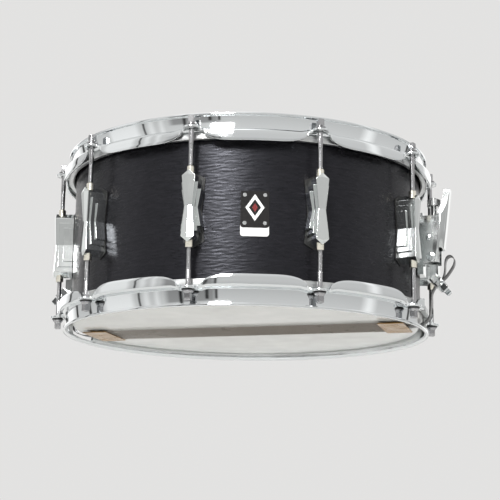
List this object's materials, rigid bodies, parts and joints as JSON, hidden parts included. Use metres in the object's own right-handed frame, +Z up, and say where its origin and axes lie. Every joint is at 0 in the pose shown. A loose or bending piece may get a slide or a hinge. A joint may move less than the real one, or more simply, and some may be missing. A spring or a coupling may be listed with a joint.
{
  "type": "snare drum",
  "caption": "Snare drum with lugs and tension rods, chromed flanged hoops, two heads, snare wires on straps and a lever throw-off with a fine-adjustment knob.",
  "frame": {"origin": "on the drum's axis in the plane of the snare-side rim, which it rests on", "axes": "+Z up through the batter head, -Y towards the badge, throw-off 72 degrees round from -Y towards +X"},
  "size_m": [0.4068, 0.3776, 0.179],
  "materials": {
    "shell_wood": "satin black lacquer over grain",
    "batter_film": "coated white film",
    "snare_film": "hazy translucent film",
    "flesh_aluminium": "plain",
    "chrome": "polished",
    "lug_chrome": "polished casting",
    "nut_nickel": "nickel plated",
    "rod_steel": "plated",
    "gasket_rubber": "matte",
    "screw_steel": "plated",
    "badge_black": "glossy",
    "badge_white": "glossy",
    "strap_black": "woven ribbon",
    "wire_steel": "bright",
    "brass": "lacquered",
    "strainer_chrome": "polished"
  },
  "bodies": {
    "drum": {"badge_backing": "badge_white", "badge_pins": "screw_steel", "badge_plate": "badge_black", "batter_head_film": "batter_film", "butt_base": "strainer_chrome", "butt_clamp_plate": "strainer_chrome", "butt_clamp_screws": "screw_steel", "lug_01": "lug_chrome", "lug_02": "lug_chrome", "lug_03": "lug_chrome", "lug_04": "lug_chrome", "lug_05": "lug_chrome", "lug_06": "lug_chrome", "lug_07": "lug_chrome", "lug_08": "lug_chrome", "lug_09": "lug_chrome", "lug_10": "lug_chrome", "lug_nuts": "nut_nickel", "mount_gaskets": "gasket_rubber", "mounting_screws": "screw_steel", "shell": "shell_wood", "snare_head_film": "snare_film", "strap_front": "strap_black", "strap_rear": "strap_black", "throwoff_housing": "strainer_chrome", "throwoff_pivot_screws": "screw_steel", "vent_grommet": "chrome"},
    "batter_hoop_assembly": {"batter_hoop": "chrome", "batter_flesh_hoop": "flesh_aluminium"},
    "snare_hoop_assembly": {"snare_hoop": "chrome", "snare_flesh_hoop": "flesh_aluminium"},
    "lever": {"throwoff_lever": "strainer_chrome"},
    "carriage": {"throwoff_carriage": "screw_steel"},
    "knob": {"throwoff_knob": "strainer_chrome"},
    "strap_clamp": {"throwoff_clamp_block": "strainer_chrome", "throwoff_clamp_plate": "strainer_chrome", "throwoff_clamp_screws": "screw_steel", "strap_tail": "strap_black"},
    "snares": {"snare_wires": "wire_steel", "snare_end_plates": "brass"},
    "batter_rod_01": {"batter_rod_01": "rod_steel"},
    "batter_rod_02": {"batter_rod_02": "rod_steel"},
    "batter_rod_03": {"batter_rod_03": "rod_steel"},
    "batter_rod_04": {"batter_rod_04": "rod_steel"},
    "batter_rod_05": {"batter_rod_05": "rod_steel"},
    "batter_rod_06": {"batter_rod_06": "rod_steel"},
    "batter_rod_07": {"batter_rod_07": "rod_steel"},
    "batter_rod_08": {"batter_rod_08": "rod_steel"},
    "batter_rod_09": {"batter_rod_09": "rod_steel"},
    "batter_rod_10": {"batter_rod_10": "rod_steel"},
    "snare_rod_01": {"snare_rod_01": "rod_steel"},
    "snare_rod_02": {"snare_rod_02": "rod_steel"},
    "snare_rod_03": {"snare_rod_03": "rod_steel"},
    "snare_rod_04": {"snare_rod_04": "rod_steel"},
    "snare_rod_05": {"snare_rod_05": "rod_steel"},
    "snare_rod_06": {"snare_rod_06": "rod_steel"},
    "snare_rod_07": {"snare_rod_07": "rod_steel"},
    "snare_rod_08": {"snare_rod_08": "rod_steel"},
    "snare_rod_09": {"snare_rod_09": "rod_steel"},
    "snare_rod_10": {"snare_rod_10": "rod_steel"}
  },
  "joints": [
    {"name": "batter_hoop_slide", "type": "slide", "parent": "drum", "child": "batter_hoop_assembly", "axis": [0, 0, -1], "range_m": [-0.0012, 0.0012]},
    {"name": "batter_rod_01_turn", "type": "hinge", "parent": "batter_hoop_assembly", "child": "batter_rod_01", "pos_m": [0.05871, -0.1807, 0.1695], "axis": [0, 0, -1], "range_deg": [-541, 541]},
    {"name": "batter_rod_02_turn", "type": "hinge", "parent": "batter_hoop_assembly", "child": "batter_rod_02", "pos_m": [0.15371, -0.11168, 0.1695], "axis": [0, 0, -1], "range_deg": [-541, 541]},
    {"name": "batter_rod_03_turn", "type": "hinge", "parent": "batter_hoop_assembly", "child": "batter_rod_03", "pos_m": [0.19, 0, 0.1695], "axis": [0, 0, -1], "range_deg": [-541, 541]},
    {"name": "batter_rod_04_turn", "type": "hinge", "parent": "batter_hoop_assembly", "child": "batter_rod_04", "pos_m": [0.15371, 0.11168, 0.1695], "axis": [0, 0, -1], "range_deg": [-541, 541]},
    {"name": "batter_rod_05_turn", "type": "hinge", "parent": "batter_hoop_assembly", "child": "batter_rod_05", "pos_m": [0.05871, 0.1807, 0.1695], "axis": [0, 0, -1], "range_deg": [-541, 541]},
    {"name": "batter_rod_06_turn", "type": "hinge", "parent": "batter_hoop_assembly", "child": "batter_rod_06", "pos_m": [-0.05871, 0.1807, 0.1695], "axis": [0, 0, -1], "range_deg": [-541, 541]},
    {"name": "batter_rod_07_turn", "type": "hinge", "parent": "batter_hoop_assembly", "child": "batter_rod_07", "pos_m": [-0.15371, 0.11168, 0.1695], "axis": [0, 0, -1], "range_deg": [-541, 541]},
    {"name": "batter_rod_08_turn", "type": "hinge", "parent": "batter_hoop_assembly", "child": "batter_rod_08", "pos_m": [-0.19, 0, 0.1695], "axis": [0, 0, -1], "range_deg": [-541, 541]},
    {"name": "batter_rod_09_turn", "type": "hinge", "parent": "batter_hoop_assembly", "child": "batter_rod_09", "pos_m": [-0.15371, -0.11168, 0.1695], "axis": [0, 0, -1], "range_deg": [-541, 541]},
    {"name": "batter_rod_10_turn", "type": "hinge", "parent": "batter_hoop_assembly", "child": "batter_rod_10", "pos_m": [-0.05871, -0.1807, 0.1695], "axis": [0, 0, -1], "range_deg": [-541, 541]},
    {"name": "snare_hoop_slide", "type": "slide", "parent": "drum", "child": "snare_hoop_assembly", "axis": [0, 0, 1], "range_m": [-0.0012, 0.0012]},
    {"name": "snare_rod_01_turn", "type": "hinge", "parent": "snare_hoop_assembly", "child": "snare_rod_01", "pos_m": [0.05871, -0.1807, 0.0095], "axis": [0, 0, 1], "range_deg": [-541, 541]},
    {"name": "snare_rod_02_turn", "type": "hinge", "parent": "snare_hoop_assembly", "child": "snare_rod_02", "pos_m": [0.15371, -0.11168, 0.0095], "axis": [0, 0, 1], "range_deg": [-541, 541]},
    {"name": "snare_rod_03_turn", "type": "hinge", "parent": "snare_hoop_assembly", "child": "snare_rod_03", "pos_m": [0.19, 0, 0.0095], "axis": [0, 0, 1], "range_deg": [-541, 541]},
    {"name": "snare_rod_04_turn", "type": "hinge", "parent": "snare_hoop_assembly", "child": "snare_rod_04", "pos_m": [0.15371, 0.11168, 0.0095], "axis": [0, 0, 1], "range_deg": [-541, 541]},
    {"name": "snare_rod_05_turn", "type": "hinge", "parent": "snare_hoop_assembly", "child": "snare_rod_05", "pos_m": [0.05871, 0.1807, 0.0095], "axis": [0, 0, 1], "range_deg": [-541, 541]},
    {"name": "snare_rod_06_turn", "type": "hinge", "parent": "snare_hoop_assembly", "child": "snare_rod_06", "pos_m": [-0.05871, 0.1807, 0.0095], "axis": [0, 0, 1], "range_deg": [-541, 541]},
    {"name": "snare_rod_07_turn", "type": "hinge", "parent": "snare_hoop_assembly", "child": "snare_rod_07", "pos_m": [-0.15371, 0.11168, 0.0095], "axis": [0, 0, 1], "range_deg": [-541, 541]},
    {"name": "snare_rod_08_turn", "type": "hinge", "parent": "snare_hoop_assembly", "child": "snare_rod_08", "pos_m": [-0.19, 0, 0.0095], "axis": [0, 0, 1], "range_deg": [-541, 541]},
    {"name": "snare_rod_09_turn", "type": "hinge", "parent": "snare_hoop_assembly", "child": "snare_rod_09", "pos_m": [-0.15371, -0.11168, 0.0095], "axis": [0, 0, 1], "range_deg": [-541, 541]},
    {"name": "snare_rod_10_turn", "type": "hinge", "parent": "snare_hoop_assembly", "child": "snare_rod_10", "pos_m": [-0.05871, -0.1807, 0.0095], "axis": [0, 0, 1], "range_deg": [-541, 541]},
    {"name": "throwoff_lever_hinge", "type": "hinge", "parent": "drum", "child": "lever", "pos_m": [0.18165, -0.05902, 0.072], "axis": [0.309, 0.9511, 0], "range_deg": [0, 90]},
    {"name": "carriage_slide", "type": "slide", "parent": "drum", "child": "carriage", "axis": [0, 0, -1], "range_m": [0, 0.0081], "deforming": ["strap_front", "strap_tail"]},
    {"name": "knob_turn", "type": "hinge", "parent": "carriage", "child": "knob", "pos_m": [0.18355, -0.05964, 0.1285], "axis": [0, 0, -1], "range_deg": [-1441, 1441]},
    {"name": "clamp_slide", "type": "slide", "parent": "carriage", "child": "strap_clamp", "axis": [0, 0, 1], "range_m": [-0.0032, 0.0032]},
    {"name": "snare_drop", "type": "slide", "parent": "drum", "child": "snares", "axis": [0, 0, -1], "range_m": [0, 0.0016], "deforming": ["strap_rear"]}
  ],
  "couplings": [
    {"joint": "batter_rod_01_turn", "follows": "batter_hoop_slide", "rad_per_m": 7854},
    {"joint": "batter_rod_02_turn", "follows": "batter_hoop_slide", "rad_per_m": 7854},
    {"joint": "batter_rod_03_turn", "follows": "batter_hoop_slide", "rad_per_m": 7854},
    {"joint": "batter_rod_04_turn", "follows": "batter_hoop_slide", "rad_per_m": 7854},
    {"joint": "batter_rod_05_turn", "follows": "batter_hoop_slide", "rad_per_m": 7854},
    {"joint": "batter_rod_06_turn", "follows": "batter_hoop_slide", "rad_per_m": 7854},
    {"joint": "batter_rod_07_turn", "follows": "batter_hoop_slide", "rad_per_m": 7854},
    {"joint": "batter_rod_08_turn", "follows": "batter_hoop_slide", "rad_per_m": 7854},
    {"joint": "batter_rod_09_turn", "follows": "batter_hoop_slide", "rad_per_m": 7854},
    {"joint": "batter_rod_10_turn", "follows": "batter_hoop_slide", "rad_per_m": 7854},
    {"joint": "snare_rod_01_turn", "follows": "snare_hoop_slide", "rad_per_m": 7854},
    {"joint": "snare_rod_02_turn", "follows": "snare_hoop_slide", "rad_per_m": 7854},
    {"joint": "snare_rod_03_turn", "follows": "snare_hoop_slide", "rad_per_m": 7854},
    {"joint": "snare_rod_04_turn", "follows": "snare_hoop_slide", "rad_per_m": 7854},
    {"joint": "snare_rod_05_turn", "follows": "snare_hoop_slide", "rad_per_m": 7854},
    {"joint": "snare_rod_06_turn", "follows": "snare_hoop_slide", "rad_per_m": 7854},
    {"joint": "snare_rod_07_turn", "follows": "snare_hoop_slide", "rad_per_m": 7854},
    {"joint": "snare_rod_08_turn", "follows": "snare_hoop_slide", "rad_per_m": 7854},
    {"joint": "snare_rod_09_turn", "follows": "snare_hoop_slide", "rad_per_m": 7854},
    {"joint": "snare_rod_10_turn", "follows": "snare_hoop_slide", "rad_per_m": 7854},
    {"joint": "carriage_slide", "follows": "throwoff_lever_hinge", "m_per_rad": 0.005093},
    {"joint": "snare_drop", "follows": "throwoff_lever_hinge", "m_per_rad": 0.00095493},
    {"joint": "knob_turn", "follows": "clamp_slide", "rad_per_m": 7854}
  ]
}
